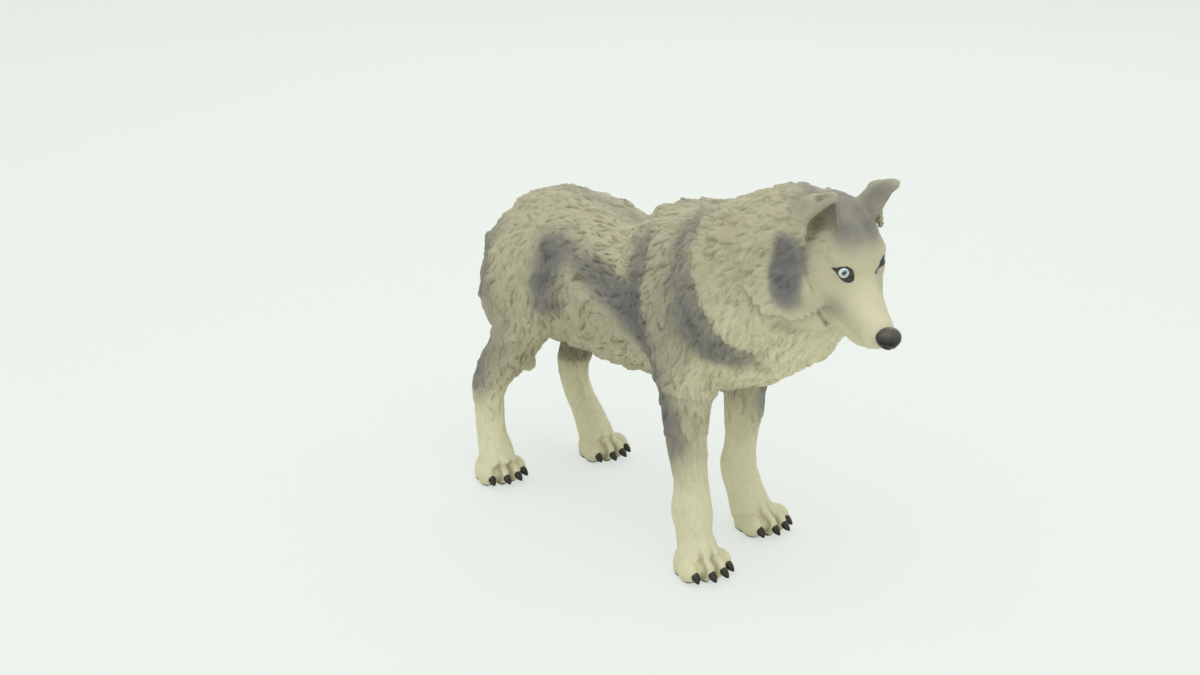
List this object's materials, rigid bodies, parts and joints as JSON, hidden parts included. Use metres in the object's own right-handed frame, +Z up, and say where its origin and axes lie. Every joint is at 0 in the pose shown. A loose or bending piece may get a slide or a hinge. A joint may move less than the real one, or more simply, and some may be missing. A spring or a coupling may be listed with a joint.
{
  "type": "rubber wolf figure",
  "caption": "Standing toy wolf moulded in soft rubber, with a thick mane, lowered head, pricked ears and coarse fur relief.",
  "frame": {"origin": "bottom centre of the bounding box, level with the soles", "axes": "-Y towards the nose, +X towards the animal's left side, +Z up"},
  "size_m": [0.068, 0.2244, 0.1538],
  "materials": {
    "wolf_rubber": "matte painted rubber, beige and grey"
  },
  "bodies": {
    "root": {"wolf_figure": "wolf_rubber"}
  },
  "joints": []
}
